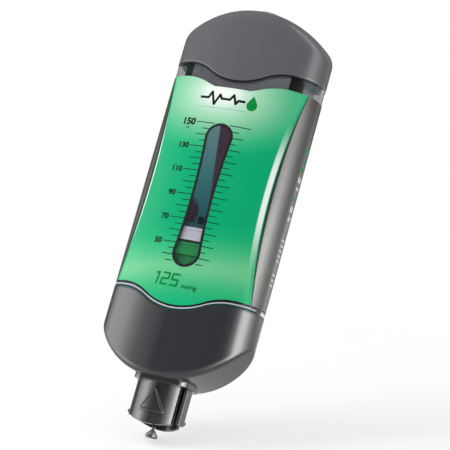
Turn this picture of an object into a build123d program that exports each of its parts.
from build123d import *
import math
import os

# A 150 cc spring-driven suction cartridge: an oval clear barrel between two domed caps, with a sprung piston
# inside and a latching tube port below. Millimetres. +Z runs along the barrel from the port to the crown, the
# printed face looks along -Y, and the origin is the middle of the nozzle's lowest rim.

# Outside section: four tangent arcs, two shallow faces and two tight sides.
body_width = 73.0
body_depth = 35.2
side_radius = 13.0

# Walls and fits.
seam_gap = 0.1
barrel_wall = 1.7
barrel_step = 0.2
cap_wall = 2.0
skirt_wall = 0.9
skirt_clearance = 0.1
label_thickness = 0.15
floor_gap = 0.3
join = 0.5
overshoot = 1.0
far_reach = 20.0
seam_overrun = 3.0
wave_overrun = 5.0
skin_overrun = 12.0
corner_least = 1.0
edge_least = 0.8
near_one = 0.999
near_zero = 0.01
cubic_mm_per_cc = 1000.0
carrier_seal_gap = 0.1
o_ring_drop = 1.8
cap_hollow_rise = 4.0
spout_hole_reach = 8.0
rim_gap = 0.5
key_hole_reach = 12.0
valve_bill_sink = 0.2
valve_slit_lift = 0.3
arm_rounding_share = 0.25
arm_ridge_seat = 0.1
arm_ridge_trim = 0.6
disc_bevel_share = 0.6
bead_share = 1.5

# Heights.
port_drop = 25.4
bottom_seam_rise = 10.924
barrel_window_height = 109.4
top_dome_height = 29.5

# Waved seams between the barrel and its caps.
bottom_wave_depth = 7.6
top_wave_depth = 7.5
bottom_wave_reach = 28.0
top_wave_reach = 26.5
bottom_seam_fall = -0.5
top_seam_fall = 0.7
spigot_length = 6.0

# Domes: one wide arc between two corner arcs, rounded over to the faces.
# The spread is how much larger the wide arc's radius is than half of the body.
bottom_dome_spread = 2.9
bottom_corner_radius = 9.0
bottom_edge_radius = 3.0
bottom_land_cut = 1.0
top_dome_spread = 14.3
top_corner_radius = 10.0
top_edge_radius = 8.0
arch_overhang = 1.2
inner_rounding = 0.35

# Printed labels.
label_margin_bottom = 2.6
label_margin_top = 7.1
label_half_width = 33.2
label_waist_half_width = 29.4
label_waist_share = 0.49
label_side_fall = 0.4
label_top_wave_depth = 5.6
label_bottom_wave_depth = 7.9
label_tab_half_width = 10.0
label_tab_height = 1.2
label_seam = 0.25
label_seam_waist = 1.1
window_half_width = 6.3
window_waist_half_width = 4.9
window_length = 67.5

# Piston. The reading line is its black ring; the zero line is where that ring stands when the bore is empty.
rest_reading_cc = 53.0
zero_rise = 5.3
bore_step_rise = 1.2
full_reading_cc = 150.0
nose_clearance = 0.5
piston_wall = 1.6
piston_gap = 0.35
seal_gap = 0.05
ring_height = 0.8
ring_gap = 0.08
ring_inset = 0.15
seal_height = 6.0
seal_wall = 2.6
seal_groove = 0.35
seal_lip = 1.2
nose_groove_drop = 1.6
nose_groove_depth = 0.3
nose_groove_half = 0.4

# Spring carrier, spools and springs.
carrier_gap = 0.9
carrier_base = 2.0
carrier_vent_radius = 2.0
key_pad_radius = 6.0
key_pad_height = 6.0
key_pad_rim = 1.4
key_pad_dish = 1.5
carrier_vent_gap = 1.4
spool_spacing = 40.0
coil_radius = 9.5
coil_wall = 3.2
coil_floor_gap = 0.7
spring_width = 14.0
spring_thickness = 0.25
spool_bore_clearance = 0.05
axle_radius = 1.6
axle_chamfer = 0.3
cheek_wall = 2.0
cheek_gap = 0.3
cheek_radius = 4.6
anchor_height = 6.5
anchor_lip = 1.4
anchor_side = 0.6
anchor_drop = 0.4
strip_gap = 0.03

# Exhaust valve in the piston.
exhaust_hole_radius = 1.2
exhaust_hole_circle = 2.9
exhaust_stem_radius = 1.0
exhaust_disc_radius = 4.8
exhaust_disc_height = 0.9
exhaust_bead_height = 1.0
deck_thickness = 2.2

# Key port in the top cap.
key_radius = 4.0
key_guide_wall = 1.4
key_guide_length = 16.0
key_rim_rise = 2.5
key_rim_chamfer = 1.4
key_rim_radius = 6.4
key_rim_seat = 0.6

# Tongues of the top cap that reach down inside the barrel.
tongue_wall = 1.0
tongue_clearance = 0.15
tongue_half_width = 24.0
tongue_drop = 8.0
tongue_edge_drop = 7.0
shelf_height = 3.0

# Tube port below the bottom cap.
collar_margin = 0.6
collar_depth = 19.4
collar_corner = 5.0
collar_thickness = 1.3
guard_radius = 15.2
guard_wall = 1.6
guard_front = 8.8
guard_half_width = 9.7
guard_length = 20.4
guard_corner_rise = 2.4
arrow_height = 10.6
arrow_half_width = 5.8
arrow_drop = 3.9
arrow_rise = 0.45
arm_gap = 1.1
arm_wall = 1.8
arm_half_depth = 2.8
arm_length = 16.0
arm_ridge_radius = 0.9
arm_ridge_lift = 1.6
arm_root_gap = 0.2
hub_wall = 1.7
hub_length = 14.0
spout_radius = 3.4
spout_bore = 1.9
spout_reach = 4.0
spout_clearance = 0.1
valve_flange_radius = 2.9
valve_flange_height = 0.8
valve_bill_height = 3.6
valve_bill_radius = 1.5
valve_lip_half = 0.35
valve_wall = 0.6
valve_slit = 0.12
o_ring_radius = 0.35
o_ring_groove = 0.6
hub_channel_radius = 1.0

# Nozzle.
nozzle_shank_radius = 1.7
nozzle_shank_length = 5.0
nozzle_stem_radius = 0.75
nozzle_bell_radius = 2.8
nozzle_bell_height = 3.8
nozzle_rim_height = 1.4
nozzle_channel_radius = 0.4
nozzle_cup_wall = 0.7
nozzle_cup_roof = 0.3
nozzle_rim_chamfer = 0.2
nozzle_shoulder_width = 0.8
nozzle_shoulder_height = 1.2

# Derived sizes and heights.
coil_axis_lift = carrier_base + coil_radius + coil_floor_gap
hub_radius = spout_radius + spout_clearance + hub_wall
arm_inner = guard_half_width + arm_gap
collar_width = 2 * (arm_inner + arm_wall + collar_margin)
dome_half = body_width / 2 + arch_overhang
bottom_dome_radius = dome_half + bottom_dome_spread
top_dome_radius = dome_half + top_dome_spread
bottom_dome_low = port_drop - bottom_land_cut
corner_x = dome_half - bottom_corner_radius
corner_drop = math.sqrt((bottom_dome_radius - bottom_corner_radius) ** 2 - corner_x**2)
dome_shoulder = bottom_dome_low + bottom_dome_radius - corner_drop
bottom_seam_high = dome_shoulder + bottom_seam_rise
top_seam_high = bottom_seam_high + barrel_window_height
top_dome_high = top_seam_high + top_dome_height
bottom_spigot_low = bottom_seam_high - bottom_wave_depth - spigot_length
barrel_rim = top_seam_high + spigot_length
bore_inset = barrel_step + barrel_wall
spigot_inset = skirt_wall + skirt_clearance
floor_inset = cap_wall + floor_gap + barrel_wall
axle_x = spool_spacing / 2
strip_x = axle_x + coil_radius


def oval(inset=0.0):
    """Face of the outside section, moved inwards by inset."""
    half_w = body_width / 2 - inset
    half_d = body_depth / 2 - inset
    side_r = side_radius - inset
    face_r = ((half_w - side_r) ** 2 + half_d**2 - side_r**2) / (2 * (half_d - side_r))
    join_angle = math.atan2(face_r - half_d, half_w - side_r)
    join_x = face_r * math.cos(join_angle)
    join_y = half_d - face_r + face_r * math.sin(join_angle)
    return make_face(
        Wire(
            [
                ThreePointArc((-join_x, join_y), (0, half_d), (join_x, join_y)),
                ThreePointArc((join_x, join_y), (half_w, 0), (join_x, -join_y)),
                ThreePointArc((join_x, -join_y), (0, -half_d), (-join_x, -join_y)),
                ThreePointArc((-join_x, -join_y), (-half_w, 0), (-join_x, join_y)),
            ]
        )
    )


def prism(inset, low, high):
    """Solid of the oval section between two heights."""
    return Pos(0, 0, low) * extrude(oval(inset), high - low)


def tube(outer_inset, inner_inset, low, high):
    """Oval tube between two heights."""
    return prism(outer_inset, low, high) - prism(inner_inset, low - overshoot, high + overshoot)


def through(face):
    """A face drawn in X and Z, pushed through the whole depth."""
    return extrude(Plane.XZ * face, body_depth, both=True)


def bore_area():
    """Area of the bore in square millimetres."""
    return oval(bore_inset).area


def arch_face(low, dome_r, corner_r, half, upright):
    """Closed X-Z outline of a dome that opens upwards: a wide arc, two corner arcs and straight sides."""
    corner_x = half - corner_r
    centre_drop = math.sqrt((dome_r - corner_r) ** 2 - corner_x**2)
    turn = math.atan2(corner_x, centre_drop)
    corner_z = low + dome_r - centre_drop
    join_x = dome_r * math.sin(turn)
    join_z = low + dome_r - dome_r * math.cos(turn)
    middle = (turn + math.pi / 2) / 2
    middle_x = corner_x + corner_r * math.sin(middle)
    middle_z = corner_z - corner_r * math.cos(middle)
    top_z = corner_z + upright
    return make_face(
        Wire(
            [
                Line((half, top_z), (half, corner_z)),
                ThreePointArc((half, corner_z), (middle_x, middle_z), (join_x, join_z)),
                ThreePointArc((join_x, join_z), (0, low), (-join_x, join_z)),
                ThreePointArc((-join_x, join_z), (-middle_x, middle_z), (-half, corner_z)),
                Line((-half, corner_z), (-half, top_z)),
                Line((-half, top_z), (half, top_z)),
            ]
        )
    )


def round_edges(solid, radius, below):
    """Round the edges between a dome and the two faces."""
    rim = [e for e in solid.edges() if e.center().Z < below and abs(e.tangent_at(0.5).Z) < near_one]
    across = [e for e in rim if abs(e.tangent_at(0.5).Y) < near_one and abs(e.center().Y) > near_zero]
    return fillet(across, radius)


def bottom_dome(inset, high):
    """Rounded bottom dome, moved inwards by inset, up to a height."""
    arch = arch_face(
        bottom_dome_low + inset,
        bottom_dome_radius - inset,
        max(bottom_corner_radius - inset, corner_least),
        dome_half - inset,
        body_width * 2,
    )
    block = prism(inset, 0, high) & through(arch)
    rounding = max(bottom_edge_radius - inset * inner_rounding, edge_least)
    rounded = round_edges(block, rounding, bottom_seam_high - overshoot)
    land = bottom_dome_low + inset + bottom_land_cut
    return rounded - Pos(0, 0, land - body_depth) * Box(2 * body_width, 2 * body_depth, 2 * body_depth)


def top_dome(inset):
    """Rounded top dome, moved inwards by inset, down to just below the lowest point of its seam."""
    low = top_seam_high - top_wave_depth - seam_overrun
    arch = arch_face(
        -top_dome_high + inset,
        top_dome_radius - inset,
        max(top_corner_radius - inset, corner_least),
        dome_half - inset,
        body_width * 2,
    )
    block = prism(inset, -top_dome_high - overshoot, -low) & through(arch)
    rounded = round_edges(block, top_edge_radius - inset * inner_rounding, -top_seam_high - overshoot)
    return Rot(180, 0, 0) * rounded


def wave_face(high, depth, reach, side_fall, far):
    """X-Z face bounded by a waved seam on one side and by the height far on the other."""
    edge = body_width / 2 + wave_overrun
    middle = high - depth / 2
    bend = (reach**2 / depth + depth) / 4
    # Two equal arcs make each half wave; half_turn is half of the angle that each arc spans.
    half_turn = math.atan2(depth, reach)
    low_mid = (bend * math.sin(half_turn), high - depth + bend * (1 - math.cos(half_turn)))
    high_mid = (reach - low_mid[0], high - bend * (1 - math.cos(half_turn)))
    side_mid = ((reach + edge) / 2, high - side_fall / 4)
    right = [
        ThreePointArc((0, high - depth), low_mid, (reach / 2, middle)),
        ThreePointArc((reach / 2, middle), high_mid, (reach, high)),
        ThreePointArc((reach, high), side_mid, (edge, high - side_fall)),
    ]
    left = [ThreePointArc(*[(-p.X, p.Y) for p in (a @ 0, a @ 0.5, a @ 1)]) for a in right]
    frame = [
        Line((edge, high - side_fall), (edge, far)),
        Line((edge, far), (-edge, far)),
        Line((-edge, far), (-edge, high - side_fall)),
    ]
    return make_face(Wire(right + left + frame))


def below_bottom_seam(gap=0.0):
    high = bottom_seam_high - gap
    return through(wave_face(high, bottom_wave_depth, bottom_wave_reach, bottom_seam_fall, -far_reach))


def above_top_seam(gap=0.0):
    far = top_dome_high + far_reach
    return through(wave_face(top_seam_high + gap, top_wave_depth, top_wave_reach, top_seam_fall, far))


def cylinder_z(radius, low, high, x=0.0, y=0.0):
    return Pos(x, y, (low + high) / 2) * Cylinder(radius, high - low)


def cylinder_y(radius, half_length, x, z):
    return Pos(x, 0, z) * Rot(90, 0, 0) * Cylinder(radius, 2 * half_length)


# Heights of the scale and of the moving parts at rest.
rise_per_cc = cubic_mm_per_cc / bore_area()
bore_floor = bottom_dome_low + floor_inset
bore_land = bore_floor + bottom_land_cut
zero_line = dome_shoulder + zero_rise
bore_step = bottom_spigot_low + bore_step_rise
rest_line = zero_line + rest_reading_cc * rise_per_cc
full_line = zero_line + full_reading_cc * rise_per_cc
rest_lift = rest_line - zero_line
seal_low = rest_line + ring_height / 2 + ring_gap
seal_high = seal_low + seal_height
carrier_low = seal_high + carrier_seal_gap
carrier_high = carrier_low + carrier_base
axle_z = carrier_low + coil_axis_lift
deck_top = rest_line - ring_height / 2 - ring_gap
spout_low = bottom_dome_low + bottom_land_cut - spout_reach
valve_seat = spout_low - valve_flange_height
hub_high = bottom_dome_low + bottom_land_cut + cap_wall
o_ring_z = hub_high - o_ring_drop
anchor_high = barrel_rim - anchor_drop
anchor_low = anchor_high - anchor_height


def make_barrel():
    """Clear cup with a domed floor, thin spigots at both ends and a grooved spout below."""
    full = prism(barrel_step, bottom_spigot_low, barrel_rim)
    full = full - below_bottom_seam() - above_top_seam()
    spigot = prism(spigot_inset, bottom_spigot_low, barrel_rim)
    dome = bottom_dome(cap_wall + floor_gap, dome_shoulder + 2)
    bore = bottom_dome(floor_inset, dome_shoulder + 2) + prism(bore_inset, bore_step, barrel_rim + overshoot)
    spout = cylinder_z(spout_radius, spout_low, bore_land - join)
    groove = cylinder_z(spout_radius + overshoot, o_ring_z - o_ring_radius, o_ring_z + o_ring_radius)
    groove = groove - cylinder_z(spout_radius - o_ring_groove, o_ring_z - overshoot, o_ring_z + overshoot)
    shell = (full + spigot + dome) - bore
    return (shell + spout) - cylinder_z(spout_bore, spout_low - overshoot, bore_land + overshoot) - groove


def make_bottom_cap():
    """Domed shell with a thin skirt over the barrel's lower spigot and a hole for the spout."""
    outer = bottom_dome(0, bottom_seam_high + 2) & below_bottom_seam(seam_gap)
    hollow_high = dome_shoulder + cap_hollow_rise
    hollow = bottom_dome(cap_wall, hollow_high) + prism(cap_wall, dome_shoulder, hollow_high + overshoot)
    hollow = hollow + prism(skirt_wall, bottom_spigot_low - floor_gap, bottom_seam_high + seam_overrun)
    hole_low = bottom_dome_low - overshoot
    hole = cylinder_z(hub_radius + spout_clearance, hole_low, bottom_dome_low + spout_hole_reach)
    return outer - hollow - hole


def make_top_cap():
    """Domed shell with a skirt outside the barrel's rim and two tongues inside it."""
    outer = top_dome(0) & above_top_seam(seam_gap)
    hollow = top_dome(cap_wall)
    skirt_low = top_seam_high - top_wave_depth - seam_overrun
    skirt_room = prism(skirt_wall, skirt_low, barrel_rim + rim_gap)
    shell = outer - hollow - skirt_room
    tongue_inset = bore_inset + tongue_clearance
    shelf_low = barrel_rim + rim_gap
    shelf = tube(cap_wall / 2, tongue_inset + tongue_wall, shelf_low, shelf_low + shelf_height)
    tongue_low = top_seam_high - top_wave_depth - tongue_drop
    tongues = tube(tongue_inset, tongue_inset + tongue_wall, tongue_low, shelf_low + overshoot)
    tongue_high = top_seam_high - tongue_edge_drop
    tongue_shape = wave_face(tongue_high, top_wave_depth, top_wave_reach, top_seam_fall, top_dome_high)
    tongues = tongues & through(tongue_shape) & Box(2 * tongue_half_width, 4 * body_depth, 4 * top_dome_high)
    port_low = top_dome_high - cap_wall - key_hole_reach
    port = cylinder_z(key_radius + key_guide_wall, port_low, top_dome_high + overshoot)
    return shell + shelf + tongues - port


def make_key_guide():
    """Light ring and sleeve through the crown, which leads the reset key down to the piston."""
    guide_low = top_dome_high - key_guide_length
    sleeve = cylinder_z(key_radius + key_guide_wall, guide_low, top_dome_high + key_rim_rise)
    rim = cylinder_z(key_rim_radius, top_dome_high - key_rim_seat, top_dome_high + key_rim_rise)
    rim = chamfer(rim.edges().group_by(Axis.Z)[-1], key_rim_chamfer)
    rim = rim - top_dome(0)
    bore_high = top_dome_high + key_rim_rise + overshoot
    return sleeve + rim - cylinder_z(key_radius, guide_low - overshoot, bore_high)


def above_label(grow=0.0):
    """Everything above the labels' waved upper edge."""
    high = top_seam_high - label_margin_top + grow
    far = top_dome_high + far_reach
    return through(wave_face(high, label_top_wave_depth, top_wave_reach, label_side_fall, far))


def below_label(grow=0.0):
    """Everything below the labels' waved lower edge."""
    low = bottom_seam_high + label_margin_bottom - grow
    return through(wave_face(low, label_bottom_wave_depth, bottom_wave_reach, bottom_seam_fall, -far_reach))


def front_half():
    """Everything in front of the middle plane."""
    return Pos(0, -body_depth, 0) * Box(2 * body_width, 2 * body_depth, 4 * top_dome_high)


def label_outline(grow=0.0, waist_grow=0.0):
    """Solid that cuts the front label's outline: waved ends and waisted sides."""
    high = top_seam_high - label_margin_top
    low = bottom_seam_high + label_margin_bottom
    waist_z = low + (high - low) * label_waist_share
    wide = label_half_width + grow
    waist = label_waist_half_width + waist_grow
    right = Spline((wide, high), (waist, waist_z), (wide, low))
    left = Spline((-wide, low), (-waist, waist_z), (-wide, high))
    above = Polyline((-wide, high), (-wide, top_dome_high), (wide, top_dome_high), (wide, high))
    below = Polyline((wide, low), (wide, 0), (-wide, 0), (-wide, low))
    face = make_face(Wire([right] + below.edges() + [left] + above.edges()))
    return through(face) - above_label(grow) - below_label(grow)


def window_outline():
    """X-Z outline of the long window: two round ends and waisted sides."""
    high = full_line
    low = high - window_length
    end = window_half_width
    waist_z = (high + low) / 2
    lean = (window_half_width - window_waist_half_width) / window_length * 5
    waist = window_waist_half_width
    downward = [(-lean, -1), (lean, -1)]
    upward = [(lean, 1), (-lean, 1)]
    right = Spline((end, high - end), (waist, waist_z), (end, low + end), tangents=downward)
    left = Spline((-end, low + end), (-waist, waist_z), (-end, high - end), tangents=upward)
    top = ThreePointArc((-end, high - end), (0, high), (end, high - end))
    bottom = ThreePointArc((end, low + end), (0, low), (-end, low + end))
    return make_face(Wire([right, bottom, left, top]))


def label_skin():
    """Thin oval tube that both labels are cut from."""
    outer = barrel_step - label_thickness
    return tube(outer, barrel_step, bottom_seam_high - skin_overrun, top_seam_high)


def make_front_label():
    """Front film: waved ends, a tab over the middle of its upper wave and the long window."""
    tab_low = top_seam_high - label_margin_top - label_top_wave_depth
    tab = Pos(0, 0, tab_low) * Box(2 * label_tab_half_width, 2 * body_depth, 2 * label_tab_height)
    body = label_skin() & front_half() & (label_outline() + tab)
    return body - through(window_outline())


def make_rear_label():
    """Film round the back and both sides; a slim gap beside the front film widens at its waist."""
    middle = Box(2 * label_waist_half_width, 4 * body_depth, 4 * top_dome_high)
    taken = front_half() & (label_outline(label_seam, label_seam_waist) + middle)
    return label_skin() - above_label() - below_label() - taken


def exhaust_holes():
    """Places of the four air holes round the exhaust valve's stem."""
    angles = (45, 135, 225, 315)
    return [
        (exhaust_hole_circle * math.cos(math.radians(a)), exhaust_hole_circle * math.sin(math.radians(a)))
        for a in angles
    ]


def make_piston():
    """Hollow nose, domed like the floor, with a grooved rim and a collar for the ring and seal."""
    shift = rest_lift + nose_clearance
    inset = bore_inset + piston_gap
    collar_inset = inset + seal_wall
    nose = Pos(0, 0, shift) * bottom_dome(floor_inset + piston_gap, dome_shoulder + 1)
    side = prism(inset, bore_step + shift, deck_top)
    groove_z = deck_top - nose_groove_drop
    groove_low = groove_z - nose_groove_half
    groove = tube(inset - overshoot, inset + nose_groove_depth, groove_low, groove_low + 2 * nose_groove_half)
    hollow = Pos(0, 0, shift) * bottom_dome(floor_inset + piston_gap + piston_wall, dome_shoulder + 1)
    hollow = hollow + prism(inset + piston_wall, bore_step + shift + piston_wall, deck_top - deck_thickness)
    collar = tube(collar_inset, collar_inset + piston_wall, deck_top - join, seal_high)
    solid = nose + side - hollow - groove + collar
    cut_low = deck_top - deck_thickness - overshoot
    solid = solid - cylinder_z(exhaust_stem_radius, cut_low, deck_top + overshoot)
    for x, y in exhaust_holes():
        solid = solid - cylinder_z(exhaust_hole_radius, cut_low, deck_top + overshoot, x, y)
    return solid


def make_exhaust_valve():
    """Soft mushroom valve: a disc over the air holes and a stem held by a bead under the deck."""
    disc = cylinder_z(exhaust_disc_radius, deck_top, deck_top + exhaust_disc_height)
    disc = chamfer(disc.edges().group_by(Axis.Z)[-1], exhaust_disc_height * disc_bevel_share)
    bead_low = deck_top - deck_thickness - exhaust_bead_height
    stem = cylinder_z(exhaust_stem_radius, bead_low - 2 * seam_gap, deck_top + 2 * seam_gap)
    bead = cylinder_z(exhaust_stem_radius * bead_share, bead_low, deck_top - deck_thickness)
    return disc + stem + bead


def make_reading_ring():
    inner = bore_inset + piston_gap + seal_wall
    return tube(bore_inset + ring_inset, inner, rest_line - ring_height / 2, rest_line + ring_height / 2)


def make_piston_seal():
    """Soft band with a lip at each edge, a running fit in the bore."""
    outer = bore_inset + seal_gap
    band = tube(outer, bore_inset + piston_gap + seal_wall, seal_low, seal_high)
    relief = tube(outer - overshoot, outer + seal_groove, seal_low + seal_lip, seal_high - seal_lip)
    return band - relief


def make_spring_carrier():
    """Plate on the piston's collar with a pad for the reset key and two cheeks for each spool."""
    base = prism(bore_inset + carrier_gap, carrier_low, carrier_high)
    vent_y = key_pad_radius + carrier_vent_radius + carrier_vent_gap
    for y in (-vent_y, vent_y):
        base = base - cylinder_z(carrier_vent_radius, carrier_low - overshoot, carrier_high + overshoot, 0, y)
    pad = cylinder_z(key_pad_radius, carrier_high - join, carrier_high + key_pad_height)
    pad_high = carrier_high + key_pad_height
    dish = cylinder_z(key_pad_radius - key_pad_rim, pad_high - key_pad_dish, pad_high + overshoot)
    carrier = base + pad - dish
    cheek_middle = spring_width / 2 + cheek_gap + cheek_wall / 2
    for x in (-axle_x, axle_x):
        for y in (-cheek_middle, cheek_middle):
            post_height = axle_z - carrier_high + join
            post = Box(2 * cheek_radius, cheek_wall, post_height)
            post = Pos(x, y, axle_z - post_height / 2) * post
            eye = Pos(0, y, 0) * cylinder_y(cheek_radius, cheek_wall / 2, x, axle_z)
            carrier = carrier + post + eye
        carrier = carrier - cylinder_y(axle_radius, body_depth, x, axle_z)
    return carrier


def make_spool_axles():
    half = spring_width / 2 + cheek_gap + cheek_wall
    pins = [cylinder_y(axle_radius, half, x, axle_z) for x in (-axle_x, axle_x)]
    pins = [chamfer(pin.edges().filter_by(GeomType.CIRCLE), axle_chamfer) for pin in pins]
    return Compound(pins)


def make_spool(x):
    """Bobbin with a running bore; its coil is wound tight on it."""
    core = cylinder_y(coil_radius - coil_wall, spring_width / 2 + cheek_gap / 3, x, axle_z)
    return core - cylinder_y(axle_radius + spool_bore_clearance, body_depth, x, axle_z)


def make_coil(x):
    """Spring wound on its bobbin."""
    roll = cylinder_y(coil_radius, spring_width / 2, x, axle_z)
    return roll - cylinder_y(coil_radius - coil_wall, body_depth, x, axle_z)


def make_strip(side):
    """Straight run of the spring from the outside of its coil up to the anchor at the rim."""
    length = anchor_high - axle_z
    x = side * (strip_x + strip_gap + spring_thickness / 2)
    return Pos(x, 0, axle_z + length / 2) * Box(spring_thickness, spring_width, length)


def make_spring_anchors():
    """Two blocks that fill the bore's ends at the rim and clamp the springs' free ends."""
    length = anchor_high - anchor_low
    blocks = []
    for side in (-1, 1):
        inner = strip_x - anchor_lip
        block = Pos(side * (inner + body_width / 2), 0, anchor_low + length / 2) * Box(
            body_width, spring_width + 2 * anchor_side, length
        )
        block = block & prism(bore_inset, anchor_low - overshoot, anchor_high + overshoot)
        slot = Pos(side * (strip_x + strip_gap + spring_thickness / 2), 0, anchor_low) * Box(
            spring_thickness, spring_width, 4 * length
        )
        blocks.append(block - slot)
    return Compound([s for b in blocks for s in b.solids()])


def guard_face(extra=0.0):
    """Curved plate seen from above: the front guard's section, thickened outwards by extra."""
    middle_y = -guard_front + guard_radius
    ring = Circle(guard_radius + extra) - Circle(guard_radius - guard_wall)
    front = Pos(0, -guard_radius) * Rectangle(2 * guard_half_width, 2 * guard_radius)
    return Pos(0, middle_y) * (ring & front)


def guard_side_view():
    """X-Z outline of a guard: square above, with a bowed lower edge."""
    high = port_drop
    low = port_drop - guard_length
    half = guard_half_width + 1
    corner = low + guard_corner_rise
    bow = ThreePointArc((-half, corner), (0, low), (half, corner))
    rest = Polyline((half, corner), (half, high), (-half, high), (-half, corner))
    return make_face(Wire([bow] + rest.edges()))


def make_connector_port():
    """Collar under the dome with two guards, an arrow on the front one and a hub for valve and nozzle."""
    collar_low = port_drop - collar_thickness
    plate = extrude(RectangleRounded(collar_width, collar_depth, collar_corner), 5)
    plate = (Pos(0, 0, collar_low) * plate) - bottom_dome(0, bottom_seam_high)
    guard = Pos(0, 0, port_drop - guard_length) * extrude(guard_face(), guard_length - join)
    guard = guard & through(guard_side_view())
    arrow_high = port_drop - arrow_drop
    arrow_low = arrow_high - arrow_height
    arrow = make_face(
        Polyline((0, arrow_high), (arrow_half_width, arrow_low), (-arrow_half_width, arrow_low), close=True)
    )
    raised = (Pos(0, 0, arrow_low) * extrude(guard_face(arrow_rise), arrow_height)) & through(arrow)
    hub_low = port_drop - hub_length
    hub = cylinder_z(hub_radius, hub_low, hub_high)
    port = plate + guard + Rot(0, 0, 180) * guard + raised + hub
    port = port - cylinder_z(spout_radius + spout_clearance, valve_seat, hub_high + overshoot)
    port = port - cylinder_z(hub_channel_radius, hub_low, valve_seat + overshoot)
    return port - cylinder_z(nozzle_shank_radius, hub_low - overshoot, hub_low + nozzle_shank_length)


def make_check_valve():
    """Soft duckbill: a flange clamped under the spout and two lips that point up into it."""
    flange = cylinder_z(valve_flange_radius, valve_seat, valve_seat + valve_flange_height)
    bill_low = valve_seat + valve_flange_height
    bill_high = bill_low + valve_bill_height
    half = valve_bill_radius
    wedge = make_face(
        Polyline(
            (-half, bill_low - valve_bill_sink),
            (half, bill_low - valve_bill_sink),
            (valve_lip_half, bill_high),
            (-valve_lip_half, bill_high),
            close=True,
        )
    )
    bill = cylinder_z(half, bill_low - valve_bill_sink, bill_high)
    bill = bill & extrude(Plane.YZ * wedge, far_reach, both=True)
    bore = cylinder_z(valve_bill_radius - valve_wall, valve_seat - overshoot, bill_low + 0.5)
    slit_z = bill_low + valve_bill_height / 2 + valve_slit_lift
    slit = Pos(0, 0, slit_z) * Box(1.5 * half, valve_slit, valve_bill_height)
    return flange + bill - bore - slit


def make_inlet_o_ring():
    return Pos(0, 0, o_ring_z) * Torus(spout_radius + spout_clearance - o_ring_radius, o_ring_radius)


def make_inlet_nozzle():
    """Clear nozzle: a shank pressed into the hub, a shoulder, a thin stem and a flared bell at the tip."""
    hub_low = port_drop - hub_length
    shoulder_radius = nozzle_shank_radius + nozzle_shoulder_width
    outline = Polyline(
        (0, 0),
        (nozzle_bell_radius - nozzle_rim_chamfer, 0),
        (nozzle_bell_radius, nozzle_rim_chamfer),
        (nozzle_bell_radius, nozzle_rim_height),
        (nozzle_stem_radius, nozzle_bell_height),
        (nozzle_stem_radius, hub_low - nozzle_shoulder_height),
        (shoulder_radius, hub_low - nozzle_shoulder_height),
        (shoulder_radius, hub_low),
        (nozzle_shank_radius, hub_low),
        (nozzle_shank_radius, hub_low + nozzle_shank_length),
        (0, hub_low + nozzle_shank_length),
        close=True,
    )
    body = revolve(Plane.XZ * make_face(outline), Axis.Z)
    cup = cylinder_z(nozzle_bell_radius - nozzle_cup_wall, -overshoot, nozzle_rim_height - nozzle_cup_roof)
    channel_high = hub_low + nozzle_shank_length + overshoot
    return body - cup - cylinder_z(nozzle_channel_radius, -overshoot, channel_high)


def make_arm(side):
    """Sprung latch arm beside the guards, with a ridge that the tube connector snaps over."""
    high = port_drop - collar_thickness - arm_root_gap
    low = high - arm_length
    x = arm_inner + arm_wall / 2
    blade = Pos(x, 0, (low + high) / 2) * Box(arm_wall, 2 * arm_half_depth, arm_length)
    blade = fillet(blade.edges().filter_by(Axis.Z), arm_wall * arm_rounding_share)
    ridge = Rot(90, 0, 0) * Cylinder(arm_ridge_radius, 2 * arm_half_depth - arm_ridge_trim)
    ridge = Pos(x + arm_wall / 2 - arm_ridge_seat, 0, low + arm_ridge_lift) * ridge
    arm = blade + ridge
    return arm if side > 0 else Rot(0, 0, 180) * arm


def main():
    os.makedirs("parts", exist_ok=True)
    nodes = {
        "barrel": make_barrel(),
        "bottom_cap": make_bottom_cap(),
        "top_cap": make_top_cap(),
        "key_guide": make_key_guide(),
        "front_label": make_front_label(),
        "rear_label": make_rear_label(),
        "piston": make_piston(),
        "piston_seal": make_piston_seal(),
        "reading_ring": make_reading_ring(),
        "exhaust_valve": make_exhaust_valve(),
        "spring_carrier": make_spring_carrier(),
        "spool_axles": make_spool_axles(),
        "left_spool": make_spool(-axle_x),
        "right_spool": make_spool(axle_x),
        "left_coil": make_coil(-axle_x),
        "right_coil": make_coil(axle_x),
        "left_strip": make_strip(-1),
        "right_strip": make_strip(1),
        "spring_anchors": make_spring_anchors(),
        "connector_port": make_connector_port(),
        "left_arm": make_arm(-1),
        "right_arm": make_arm(1),
        "check_valve": make_check_valve(),
        "inlet_o_ring": make_inlet_o_ring(),
        "inlet_nozzle": make_inlet_nozzle(),
    }
    for name, solid in nodes.items():
        export_step(solid, f"parts/{name}.step")
    print("zero, rest and full lines", zero_line, rest_line, full_line, "mm per cc", rise_per_cc)
    print("axles", axle_x, axle_z, "anchor top", anchor_high, "strip x", strip_x)


main()
